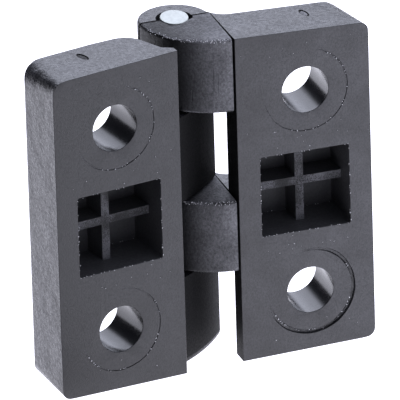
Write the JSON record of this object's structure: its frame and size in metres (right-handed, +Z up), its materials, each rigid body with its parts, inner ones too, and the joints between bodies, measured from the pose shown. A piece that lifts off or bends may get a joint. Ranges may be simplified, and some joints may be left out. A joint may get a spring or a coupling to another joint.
{
  "type": "plastic surface-mounted hinge",
  "caption": "Black plastic hinge: two thick leaves with countersunk screw holes and ribbed pockets, interleaved knuckles, a steel pin and two knuckle caps.",
  "frame": {"origin": "centre of the pin's lower end face, on the hinge axis", "axes": "+Z up along the pin, -Y the way the mounting faces look, +X from the pin to the right leaf's outer edge"},
  "size_m": [0.0484, 0.0196, 0.0489],
  "materials": {
    "leaf_polyamide": "moulded glass-fibre-filled polyamide with a spark-eroded texture",
    "cap_polyamide": "moulded glass-fibre-filled polyamide, coarser than the leaves",
    "pin_steel": "drawn steel wire with a sheared end"
  },
  "bodies": {
    "right_side": {"right_leaf": "leaf_polyamide", "upper_cap": "cap_polyamide", "lower_cap": "cap_polyamide", "hinge_pin": "pin_steel"},
    "left_side": {"left_leaf": "leaf_polyamide"}
  },
  "joints": [
    {"name": "fold", "type": "hinge", "parent": "right_side", "child": "left_side", "pos_m": [0, 0, 0.0243], "axis": [0, 0, 1], "range_deg": [-190, 28]}
  ]
}
